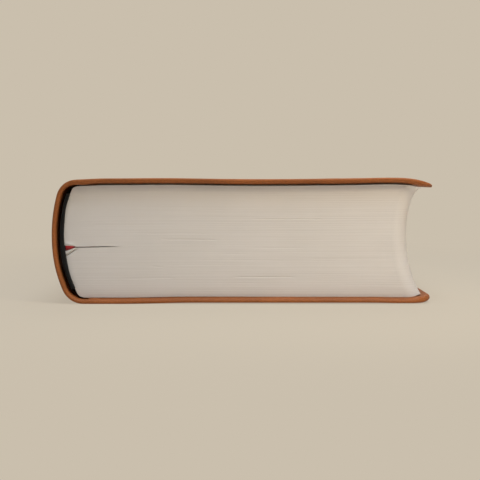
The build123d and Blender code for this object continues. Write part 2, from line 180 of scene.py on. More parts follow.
class Section:
    """Outer face of the case in the X-Z section, from the lower fore-edge round the back to the upper one."""

    round_step = 1.2 * MM  # between cuts where the case is round
    flat_step = 5 * MM  # between cuts where it is flat
    flared = 2.2 * MM  # thickness of the first leaves that splay out

    def __init__(self, scene):
        pages, case = scene.book_pages, scene.book_case
        self.floor, self.top = (corner.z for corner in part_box("text_block"))
        self.cover = 2 * case.leather + case.board
        self.height = pages.height + 2 * case.square
        self.thickness = self.floor + self.top
        self.upper_x = pages.shoulder_x
        self.lower_x = pages.shoulder_x + pages.lean
        self.upper_joint = self.upper_x + case.joint
        self.lower_joint = self.lower_x + case.joint
        self.upper_bend_x = case.upper_edge - case.upper_reach
        self.lower_bend_x = case.lower_edge - case.lower_reach
        low = (self.lower_x, case.lower_shoulder)
        high = (self.upper_x, self.thickness - case.upper_shoulder)
        back = round_back(low, case.lower_shoulder, high, case.upper_shoulder, case.spine_radius)
        low_angle, high_angle = angle_of(back, low), angle_of(back, high)
        right = math.pi / 2
        lift = math.asin(case.lower_reach / case.lower_bend)
        droop = math.asin(case.upper_reach / case.upper_bend)
        drooped = (self.upper_bend_x, self.thickness - case.upper_bend)
        self.runs = [
            self.arc((self.lower_bend_x, case.lower_bend), case.lower_bend, 3 * right + lift, 3 * right),
            self.line((self.lower_bend_x, 0), (self.lower_x, 0), 1),
            self.arc(low, case.lower_shoulder, 3 * right, low_angle),
            self.arc(back, case.spine_radius, low_angle, high_angle),
            self.arc(high, case.upper_shoulder, high_angle, right),
            self.line((self.upper_x, self.thickness), (self.upper_bend_x, self.thickness), -1),
            self.arc(drooped, case.upper_bend, right, right - droop),
        ]
        self.total = sum(run[0] for run in self.runs)
        self.lower_seam = self.runs[0][0] + self.lower_bend_x - self.lower_joint
        self.upper_start = self.total - self.runs[-1][0] - (self.upper_bend_x - self.upper_joint)
        self.pages = pages
        self.page_low = (self.lower_x, self.floor + pages.lower_back_corner)
        self.page_high = (self.upper_x, self.top - pages.upper_back_corner)
        self.back = round_back(
            self.page_low, pages.lower_back_corner, self.page_high, pages.upper_back_corner, pages.back_radius
        )
        self.back_angles = angle_of(self.back, self.page_high), angle_of(self.back, self.page_low)

    @staticmethod
    def arc(center, radius, start, end):
        """Run along an arc: its length, its cutting step, and the point at a distance and depth."""

        def point(distance, depth):
            angle, reach = start - distance / radius, radius - depth
            return center[0] + reach * math.cos(angle), center[1] + reach * math.sin(angle)

        return radius * (start - end), Section.round_step, point

    @staticmethod
    def line(start, end, inward):
        """Run along a flat cover: its length, its cutting step, and the point at a distance and depth."""
        way = 1 if end[0] > start[0] else -1

        def point(distance, depth):
            return start[0] + way * distance, start[1] + inward * depth

        return abs(end[0] - start[0]), Section.flat_step, point

    def point(self, distance, depth):
        """X and Z at a distance along the case and a depth under its outer face."""
        for run, _, point in self.runs[:-1]:
            if distance <= run:
                return point(distance, depth)
            distance -= run
        return self.runs[-1][2](distance, depth)

    def stations(self, start, end):
        """Distances at which a sheet is cut so that it can follow the case."""
        found, at, clear = [], 0.0, 0.2 * MM
        for run, step, _ in self.runs:
            count = max(1, round(run / step))
            found += [at + run * i / count for i in range(count + 1)]
            at += run
        return [s for s in sorted(set(found)) if start + clear < s < end - clear]

    @staticmethod
    def hinge(joint, inside):
        """Distances of the cuts that let a sheet bend at a joint, from its line towards the fore-edge."""
        return [joint - inside * k * MM for k in range(-1, 10)]

    def bow(self, z):
        """How far the pages' back stands out from its centre at a height."""
        return math.sqrt(self.pages.back_radius ** 2 - (z - self.back[1]) ** 2)

    def leaf_edge(self, z):
        """X of the fore-edge of the leaf at a height."""
        edge = self.back[0] + self.pages.width - self.bow(z)
        return edge + self.pages.flare * math.exp((z - self.top) / self.flared)

    def leaf_back(self, z):
        """X of the back edge of the leaf at a height, rounded in at the first and last leaves."""
        top, low = (self.back[1] + self.pages.back_radius * math.sin(angle) for angle in self.back_angles)
        if low <= z <= top:
            return self.back[0] - self.bow(z)
        center, radius = self.page_high, self.pages.upper_back_corner
        if z < low:
            center, radius = self.page_low, self.pages.lower_back_corner
        return center[0] - math.sqrt(max(0.0, radius ** 2 - (z - center[1]) ** 2))

    def settle(self, x, y, z):
        """Where a point of the soft book lies: the upper cover sags, the lower lifts, the back leans out."""
        # bumps and dips in millimetres
        across, high = x / MM, smooth(z / self.thickness)
        sag = 0.30 * math.exp(-((across - 54) / 10) ** 2) - 0.25 * math.exp(-((across - 7) / 24) ** 2)
        sag += 0.15 * math.exp(-((across + 27) / 14) ** 2) - 0.45 * smooth((-50 - across) / 13)
        lift = 0.45 * smooth((across + 45) / 28) - 0.15 * smooth((across - 48) / 10)
        lean = -0.25 * math.exp(-((z / MM - 13) / 9) ** 2) * smooth((-58 - across) / 8)
        slack = 0.5 * math.exp(-((z / MM - 19) / 7) ** 2) - 0.35 * math.exp(-((z / MM - 36) / 6) ** 2)
        lean += slack * smooth((across + 66.5) / 2) * smooth((-50 - across) / 10)
        return Vector((x + lean * MM, y, z + (high * sag + (1 - high) * lift) * MM))


def smooth(t):
    """Smooth step from 0 to 1."""
    t = max(0.0, min(1.0, t))
    return t * t * (3 - 2 * t)


def angle_of(center, point):
    """Angle, 0 to a full turn, of a point of the X-Z section seen from a centre."""
    return math.atan2(point[1] - center[1], point[0] - center[0]) % math.tau


def round_back(low, low_radius, high, high_radius, radius):
    """Centre of the arc that joins two shoulder arcs smoothly round a back."""
    to_low, to_high = radius - low_radius, radius - high_radius
    dx, dz = high[0] - low[0], high[1] - low[1]
    span = math.hypot(dx, dz)
    along = (to_low ** 2 - to_high ** 2 + span ** 2) / (2 * span)
    out = math.sqrt(to_low ** 2 - along ** 2)
    return low[0] + (dx * along + dz * out) / span, low[1] + (dz * along - dx * out) / span


def rgba(value):
    """Colour socket value."""
    return (*value, 1.0)


def scaled(value, factor):
    """Colour made lighter or darker."""
    return [min(1.0, c * factor) for c in value]


def add(tree, kind, links=None, stops=(), **settings):
    """Adds a shader node with its settings, sets or links its inputs and gives a colour ramp its stops."""
    made = tree.nodes.new(f"ShaderNode{kind}")
    for key, value in settings.items():
        setattr(made, key, value)
    for key, value in (links or {}).items():
        if isinstance(value, bpy.types.NodeSocket):
            tree.links.new(value, made.inputs[key])
        else:
            made.inputs[key].default_value = value
    for i, (position, value) in enumerate(stops):
        element = made.color_ramp.elements[i] if i < 2 else made.color_ramp.elements.new(position)
        element.position = position
        element.color = rgba(value)
    return made


def surface(name):
    """New material with an empty tree: the material, its tree and its output."""
    material = bpy.data.materials.new(name)
    material.use_nodes = True
    material.node_tree.nodes.clear()
    return material, material.node_tree, add(material.node_tree, "OutputMaterial")


def skin(tree, output, height, strength, depth, look):
    """Ends a material: relief of a depth drawn from a height, and a shader with the given look."""
    bump = add(tree, "Bump", {"Height": height, "Strength": strength, "Distance": depth})
    shader = add(tree, "BsdfPrincipled", {**look, "Normal": bump.outputs["Normal"]})
    tree.links.new(shader.outputs[0], output.inputs["Surface"])


def leathercloth(case):
    """Embossed polyurethane leathercloth: pebble grain about 1.1 mm across, soft satin film, mottled dye."""
    material, tree, output = surface("embossed_polyurethane_leathercloth")
    coords = add(tree, "TexCoord").outputs["Object"]
    # the outlines of the pebbles wander by up to 0.9 mm
    wander = add(tree, "TexNoise", {"Vector": coords, "Scale": 1 / (3 * MM), "Detail": 2.0})
    bent = add(tree, "VectorMath", {0: wander.outputs["Color"], 1: (0.9 * MM,) * 3}, operation="MULTIPLY")
    moved = add(tree, "VectorMath", {0: coords, 1: bent.outputs[0]}, operation="ADD")
    grain = {"Vector": moved.outputs[0], "Scale": 1 / (1.1 * MM)}
    pebble = add(tree, "TexVoronoi", grain, feature="DISTANCE_TO_EDGE").outputs["Distance"]
    valley = add(tree, "MapRange", {"Value": pebble, "From Max": 0.16}).outputs["Result"]
    pores = add(tree, "TexNoise", {"Vector": coords, "Scale": 1 / (0.35 * MM), "Detail": 4.0})
    relief = add(tree, "Math", {0: valley, 1: pores.outputs["Fac"]}, operation="MULTIPLY")
    dye = add(tree, "TexNoise", {"Vector": coords, "Scale": 1 / (14 * MM), "Detail": 5.0, "Roughness": 0.6})
    tones = ((0.30, scaled(case.colour, 0.87)), (0.52, case.colour), (0.72, scaled(case.colour, 1.13)))
    mottled = add(tree, "ValToRGB", {"Fac": dye.outputs["Fac"]}, tones).outputs["Color"]
    # painted shade: the valleys of the pebble grain, sunk by the bump, are drawn in a darker brown
    dark = rgba(case.valley_shade_colour)
    shaded_grain = add(tree, "Mix", {"Factor": valley, "A": dark, "B": mottled}, data_type="RGBA")
    blended = add(
        tree, "Mix", {"Factor": 0.35, "A": mottled, "B": shaded_grain.outputs["Result"]}, data_type="RGBA"
    )
    gloss = add(tree, "MapRange", {"Value": dye.outputs["Fac"], "To Min": 0.46, "To Max": 0.60})
    look = {"Base Color": blended.outputs["Result"], "Roughness": gloss.outputs["Result"], "IOR": 1.5}
    skin(tree, output, relief.outputs["Value"], 0.35, 0.09 * MM, {**look, "Specular IOR Level": 0.16})
    return material


def paper(name, tone, felt, depth):
    """Uncoated paper: felt marks of a size and a depth of tone, clouded fibres, no shine."""
    material, tree, output = surface(name)
    coords = add(tree, "TexCoord").outputs["Object"]
    felted = {"Vector": coords, "Scale": 1 / felt, "Detail": 4.0, "Roughness": 0.65}
    marks = add(tree, "TexNoise", felted).outputs["Fac"]
    tones = ((0.28, scaled(tone, 1 - depth)), (0.5, tone), (0.75, scaled(tone, 1 + 0.35 * depth)))
    marked = add(tree, "ValToRGB", {"Fac": marks}, tones).outputs["Color"]
    fibre = add(tree, "TexNoise", {"Vector": coords, "Scale": 1 / (9 * MM), "Detail": 4.0}).outputs["Fac"]
    clouds = add(tree, "ValToRGB", {"Fac": fibre}, ((0.3, linear("#F8F8F7")), (0.7, WHITE)))
    mixed = add(tree, "Mix", {"Factor": 1.0, "A": marked, "B": clouds.outputs["Color"]}, **TINT)
    look = {"Base Color": mixed.outputs["Result"], "Roughness": 0.9, "IOR": 1.45, "Specular IOR Level": 0.15}
    skin(tree, output, marks, 0.25, 0.05 * MM, look)
    return material


def page_edges(pages):
    """Trimmed edges of thin paper: faint level lines that come and go, soft cream mottling, no shine."""
    material, tree, output = surface("trimmed_thin_paper_edges")
    coords = add(tree, "TexCoord").outputs["Object"]
    # a leaf is 0.05 mm thick, too fine to show, so the lines are drawn as bundles 0.85 mm apart
    lines = {"Vector": coords, "Scale": WAVE / (0.85 * MM), "Distortion": 1.6, "Detail": 3.0}
    bundles = add(tree, "TexWave", {**lines, "Detail Scale": 0.4}, bands_direction="Z").outputs["Fac"]
    level = add(tree, "Mapping", {"Vector": coords, "Scale": (1 / (30 * MM), 1 / (30 * MM), 1 / (3.4 * MM))})
    patches = add(tree, "TexNoise", {"Vector": level.outputs["Vector"], "Scale": 1.0, "Detail": 3.0})
    # the leaves lie tightest by the back, so the lines come up towards the fore-edge
    across = add(tree, "SeparateXYZ", {"Vector": coords}).outputs["X"]
    reach = {"From Min": -30 * MM, "From Max": 30 * MM, "To Min": 0.1, "To Max": 0.75}
    looser = add(tree, "MapRange", {"Value": across, **reach}).outputs["Result"]
    shown = add(
        tree, "MapRange",
        {"Value": patches.outputs["Fac"], "From Min": 0.38, "From Max": 0.62, "To Max": looser},
    ).outputs["Result"]
    drawn = add(tree, "Mapping", {"Vector": coords, "Scale": (1 / (45 * MM), 1 / (45 * MM), 1 / (0.4 * MM))})
    streaks = {"Vector": drawn.outputs["Vector"], "Scale": 1.0, "Detail": 4.0}
    rows = add(tree, "TexNoise", streaks).outputs["Fac"]
    tones = ((0.3, scaled(pages.colour, 0.985)), (0.5, pages.colour), (0.72, scaled(pages.colour, 1.008)))
    fine = add(tree, "ValToRGB", {"Fac": rows}, tones).outputs["Color"]
    ruled = add(tree, "ValToRGB", {"Fac": bundles}, ((0.0, linear("#F7F6F6")), (0.6, WHITE)))
    lined = add(tree, "Mix", {"Factor": shown, "A": fine, "B": ruled.outputs[0]}, **TINT).outputs["Result"]
    stain = add(tree, "TexNoise", {"Vector": coords, "Scale": 1 / (22 * MM), "Detail": 3.0}).outputs["Fac"]
    mottle = add(tree, "ValToRGB", {"Fac": stain}, ((0.3, linear("#FCFCFB")), (0.7, WHITE)))
    mixed = add(tree, "Mix", {"Factor": 1.0, "A": lined, "B": mottle.outputs["Color"]}, **TINT)
    look = {"Base Color": mixed.outputs["Result"], "Roughness": 0.92, "IOR": 1.45, "Specular IOR Level": 0.12}
    skin(tree, output, rows, 0.12, 0.04 * MM, look)
    return material


def cloth(name, tone, pitch, roughness, sheen):
    """Plain woven cloth: crossed threads at the given pitch, a little fuzz."""
    material, tree, output = surface(name)
    coords = add(tree, "TexCoord").outputs["Object"]
    threads = {"Vector": coords, "Scale": WAVE / pitch, "Distortion": 0.4}
    across, along = (add(tree, "TexWave", threads, bands_direction=way).outputs["Fac"] for way in "YZ")
    weave = add(tree, "Math", {0: across, 1: along}, operation="MAXIMUM").outputs["Value"]
    # painted shade and painted highlight: the cloth is drawn darker between the threads and lighter on their
    # crowns
    tones = ((0.15, scaled(tone, 0.45)), (0.8, tone), (1.0, scaled(tone, 1.35)))
    shaded_threads = add(tree, "ValToRGB", {"Fac": weave}, tones).outputs["Color"]
    look = {"Base Color": shaded_threads, "Roughness": roughness, "Sheen Weight": sheen, "Specular IOR Level": 0.2}
    skin(tree, output, weave, 0.5, 0.08 * MM, look)
    return material


def satin(trim):
    """Polyester satin ribbon: fine ribs across it and a soft sheen along it."""
    material, tree, output = surface("polyester_satin_ribbon")
    place = add(tree, "UVMap", uv_map="ribbon").outputs["UV"]
    # the real ribs are too fine to show, so they are drawn 0.4 mm apart
    ribbing = {"Vector": place, "Scale": WAVE / (0.4 * MM), "Distortion": 0.6}
    ribs = add(tree, "TexWave", ribbing, bands_direction="Y").outputs["Fac"]
    tint = add(tree, "TexNoise", {"Vector": place, "Scale": 1 / (4 * MM), "Detail": 3.0}).outputs["Fac"]
    red = trim.ribbon_colour
    tones = ((0.3, scaled(red, 0.8)), (0.55, red), (0.75, scaled(red, 1.2)))
    dyed = add(tree, "ValToRGB", {"Fac": tint}, tones).outputs["Color"]
    look = {"Base Color": dyed, "Roughness": 0.42, "Anisotropic": 0.5, "Sheen Weight": 0.3}
    skin(tree, output, ribs, 0.35, 0.05 * MM, {**look, "Specular IOR Level": 0.45})
    return material


def grey_board(case):
    """Pressed grey board: flecked pulp, dull face."""
    material, tree, output = surface("pressed_grey_board")
    coords = add(tree, "TexCoord").outputs["Object"]
    pulp = add(tree, "TexNoise", {"Vector": coords, "Scale": 1 / (1.5 * MM), "Detail": 5.0}).outputs["Fac"]
    grey = case.card_colour
    tones = ((0.3, scaled(grey, 0.7)), (0.5, grey), (0.75, scaled(grey, 1.2)))
    flecks = add(tree, "ValToRGB", {"Fac": pulp}, tones).outputs["Color"]
    look = {"Base Color": flecks, "Roughness": 0.9, "Specular IOR Level": 0.2}
    skin(tree, output, pulp, 0.2, 0.05 * MM, look)
    return material


def dress(name, material):
    """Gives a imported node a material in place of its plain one."""
    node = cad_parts[name]
    node.data.materials.clear()
    node.data.materials.append(material)


def piece(bm, name, *materials):
    """Object at the origin from a finished bmesh."""
    mesh = bpy.data.meshes.new(name)
    bm.to_mesh(mesh)
    bm.free()
    for material in materials:
        mesh.materials.append(material)
    made = bpy.data.objects.new(name, mesh)
    bpy.context.collection.objects.link(made)
    return made


def soften(bm):
    """Turns a finished mesh's faces outwards and shades them as one surface."""
    bmesh.ops.recalc_face_normals(bm, faces=bm.faces)
    for face in bm.faces:
        face.smooth = True


def rounded_sheet(start, end, height, corner, rounded_at=None):
    """Flat sheet in X and Y, as a single face, with two corners rounded at one end if one is given."""
    bm = bmesh.new()
    bmesh.ops.create_grid(bm, x_segments=1, y_segments=1, size=0.5)
    bmesh.ops.scale(bm, vec=(end - start, height, 1), verts=bm.verts)
    bmesh.ops.translate(bm, vec=((start + end) / 2, 0, 0), verts=bm.verts)
    tips = [v for v in bm.verts if rounded_at is not None and abs(v.co.x - rounded_at) < 0.01 * MM]
    if tips:
        bmesh.ops.bevel(
            bm, geom=tips, offset=corner, offset_type="OFFSET", segments=14, profile=0.5,
            affect="VERTICES", material=-1,
        )
    return bm


def cut(bm, xs, ys):
    """Cuts a flat sheet across at each X and Y."""
    for places, normal in ((xs, (1, 0, 0)), (ys, (0, 1, 0))):
        for place in places:
            geom = bm.verts[:] + bm.edges[:] + bm.faces[:]
            bmesh.ops.bisect_plane(bm, geom=geom, dist=1e-7, plane_co=Vector(normal) * place, plane_no=normal)


def thicken(bm, depth):
    """Turns a flat sheet into a slab that reaches a depth below it."""
    made = bmesh.ops.extrude_face_region(bm, geom=bm.faces[:])
    verts = [v for v in made["geom"] if isinstance(v, bmesh.types.BMVert)]
    bmesh.ops.translate(bm, vec=(0, 0, -depth), verts=verts)
    bmesh.ops.recalc_face_normals(bm, faces=bm.faces)


def wrap(bm, section):
    """Bends a flat slab (X along the case, Z minus the depth) round the book."""
    for v in bm.verts:
        x, z = section.point(v.co.x, -v.co.z)
        v.co = section.settle(x, v.co.y, z)


def leather_slab(scene, section, start, end, tip):
    """Leather from one distance along the case to another, folded and turned in at its outer edges."""
    case = scene.book_case
    inside = 1 if tip == start else -1
    bm = rounded_sheet(start, end, section.height, case.corner, tip)
    thicken(bm, section.cover)
    seam = end if tip == start else start
    folds = [
        e for e in bm.edges
        if abs(e.verts[0].co.z - e.verts[1].co.z) < 1e-9
        and any(abs(v.co.x - seam) > SAME for v in e.verts)
    ]
    bmesh.ops.bevel(
        bm, geom=folds, offset=case.fold, offset_type="OFFSET", segments=4, profile=0.5,
        affect="EDGES", material=-1,
    )
    lean_width = 2.6 * MM  # strip along the edges that leans back towards the pages
    pleat = 0.5 * MM  # height of the leather gathered at the corners
    pressed = 0.35 * MM  # thickness lost at the lips
    uneven = 0.06 * MM  # ripple of the outer face
    half = section.height / 2
    window = half - case.turn_in
    # cuts by the edges, where the leather is shaped most
    ring = [case.fold + 0.6 * MM, lean_width, 4.4 * MM, 6.4 * MM, 9 * MM]
    xs = section.stations(start, end) + [tip + inside * r for r in ring]
    xs += [tip + inside * (case.turn_in + k) for k in (-0.5 * MM, 0.5 * MM)]
    joint = section.upper_start if tip == end else section.lower_seam
    xs += section.hinge(joint, inside)
    rows = 34
    ys = [half * (2 * i / rows - 1) * 0.93 for i in range(rows + 1)]
    ys += [side * (half - r) for r in ring for side in (-1, 1)]
    ys += [side * (window + k) for k in (-0.5 * MM, 0.5 * MM) for side in (-1, 1)]
    cut(bm, sorted(set(xs)), sorted(set(ys)))
    center_x = tip + inside * case.corner
    for v in bm.verts:
        depth = -v.co.z
        share = depth / section.cover
        reach = inside * (v.co.x - tip)
        if depth > section.cover - SAME and abs(v.co.y) < window and reach > case.turn_in:
            v.co.z += case.leather
        # a single layer where the case bends at the joint, between the turn-ins
        past = inside * (joint - v.co.x)
        single = smooth(past / MM + 1) * smooth((case.flex + 2.5 * MM - past) / (2 * MM))
        single *= smooth((half - 5 * MM - abs(v.co.y)) / (3 * MM))
        if depth > section.cover - SAME:
            v.co.z -= (v.co.z + 1.2 * case.leather) * single
        # gathered pleats where the leather is turned in round a corner
        offset = Vector((v.co.x - center_x, abs(v.co.y) - (half - case.corner)))
        if offset.x * inside < 0 and offset.y > 0 and depth > section.cover * 0.4:
            turn = math.atan2(offset.y, -inside * offset.x)
            gather = abs(math.sin(turn * 7)) ** 0.6 - 0.35
            swell = smooth(offset.length / case.corner) * math.sin(2 * turn)
            v.co.z -= pleat * gather * swell
        # the fold leans back towards the pages, further along the back, where the turn-in is pared thin
        rim = half - abs(v.co.y)
        back = smooth((section.upper_start - v.co.x) / (9 * MM)) if tip == end else 0.0
        pared = depth - case.leather - case.board
        if pared > 0:
            v.co.z += 0.75 * back * pared
        # the lip past the pages is pressed thinner than the boards
        lip = smooth((4 * MM - rim) / (1.2 * MM)) * smooth(past / (5 * MM))
        lip *= smooth((reach - 4 * MM) / (8 * MM))
        v.co.z += pressed * lip * share ** 2
        if rim < lean_width:
            lean = 0.7 * share ** 1.5 + 1.6 * back * max(0.0, share - 0.72) / 0.28
            v.co.y -= math.copysign(lean * MM * smooth(1 - rim / lean_width), v.co.y)
        if tip == end:
            # the board stops short of the upper fore-edge, which is two layers of leather
            v.co.z *= 1 - 0.38 * smooth((8 * MM - reach) / (7 * MM))
        if depth < SAME:
            ripple = noise.noise(Vector((v.co.x, v.co.y, 0)) / (26 * MM))
            v.co.z += uneven * (ripple - 1) * smooth(min(reach, half - abs(v.co.y)) / (8 * MM))
    for edge in bm.edges:
        edge.smooth = not all(abs(v.co.x - seam) < SAME for v in edge.verts)
    wrap(bm, section)
    soften(bm)
    return bm


class BOOK_OT_case(bpy.types.Operator):
    """Leather case in two pieces that meet under the book, thinned to one layer at their joints, with boards and
    back card
    """

    bl_idname = "book.case"
    bl_label = "Leather case"

    def execute(self, context):
        scene = context.scene
        section = Section(scene)
        case = scene.book_case
        material = leathercloth(case)
        upper = piece(
            leather_slab(scene, section, section.lower_seam, section.total, section.total),
            "leather_upper_and_back", material,
        )
        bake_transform(upper)
        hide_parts("upper_leather", "spine_leather")
        lower = piece(leather_slab(scene, section, 0.0, section.lower_seam, 0.0), "leather_lower", material)
        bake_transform(lower)
        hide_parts("lower_leather")
        board = grey_board(case)
        inset = case.board_setback
        upper_stop = section.total - 9 * MM
        for name, first, last, rounded_at, body, node in (
            ("back_inlay", section.lower_seam + MM, section.upper_start - MM, None, "pages", "spine_inlay"),
            (
                "board_upper", section.upper_start + case.flex + MM, upper_stop, upper_stop,
                "upper_cover", "upper_board",
            ),
            ("board_lower", inset, section.lower_seam - case.flex - MM, inset, "lower_cover", "lower_board"),
        ):
            bm = rounded_sheet(first, last, section.height - 2 * inset, case.corner - inset, rounded_at)
            thicken(bm, case.board)
            bmesh.ops.translate(bm, vec=(0, 0, -case.leather), verts=bm.verts)
            cut(bm, section.stations(first, last), [])
            wrap(bm, section)
            bmesh.ops.recalc_face_normals(bm, faces=bm.faces)
            made = piece(bm, name, board)
            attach(made, body)
            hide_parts(node)
        return {"FINISHED"}


class BOOK_OT_endpapers(bpy.types.Operator):
    """Endpapers pasted into the covers over the turn-ins, running on to the page block at the joint"""

    bl_idname = "book.endpapers"
    bl_label = "Endpapers"

    def execute(self, context):
        scene = context.scene
        section = Section(scene)
        case = scene.book_case
        material = paper("laid_endpaper", scene.book_pages.end_colour, 2.2 * MM, 0.05)
        over = 1.6 * MM  # how far each runs on over the joint
        height = section.height - 2 * case.margin
        window = section.height / 2 - case.turn_in
        steps = [-0.9 * MM, -0.4 * MM, 0.1 * MM, 0.6 * MM]
        for side, inside, start, end, joint, hinge_x, hinge_z in (
            (
                "upper", -1, section.upper_start - over, section.total - case.margin,
                section.upper_start, section.upper_joint, section.thickness,
            ),
            (
                "lower", 1, case.margin, section.lower_seam + over,
                section.lower_seam, section.lower_joint, 0.0,
            ),
        ):
            edge, tip = (end, section.total) if side == "upper" else (start, 0.0)
            bm = rounded_sheet(start, end, height, case.corner - case.margin, edge)
            thicken(bm, case.endpaper)
            xs = section.stations(start, end) + [tip + inside * (case.turn_in + k) for k in steps]
            xs += section.hinge(joint, inside)
            ys = [height / 2 * (i / 12 - 1) for i in range(1, 24)]
            ys += [sign * (window - k) for k in steps for sign in (-1, 1)]
            cut(bm, sorted(set(xs)), sorted(set(ys)))
            gap = section.floor - (section.cover + case.endpaper)
            for v in bm.verts:
                reach = inside * (v.co.x - tip)
                step = min(reach - case.turn_in, window - abs(v.co.y))
                sunk = case.leather * smooth((step + 0.9 * MM) / (1.5 * MM))
                beyond = inside * (v.co.x - joint)
                lift = 0.85 * gap * smooth(beyond / over)
                sunk *= 1 - smooth((beyond + 3 * MM) / (3 * MM))
                v.co.z = v.co.z - (section.cover - sunk) - lift
            wrap(bm, section)
            soften(bm)
            made = piece(bm, f"endpaper_{side}", material)
            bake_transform(made)
            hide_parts(f"{side}_pastedown")
        return {"FINISHED"}


def ribbon_fold(trim, x, side):
    """Height of the folded ribbon above or below its middle, at a distance from the pages' back."""
    if side > 0:
        return 0.27 * trim.fold_height * smooth((trim.fold_length + MM - x) / (1.6 * MM))
    return 0.80 * trim.fold_height * max(0.0, 1 - x / (1.08 * trim.fold_length)) ** 0.9


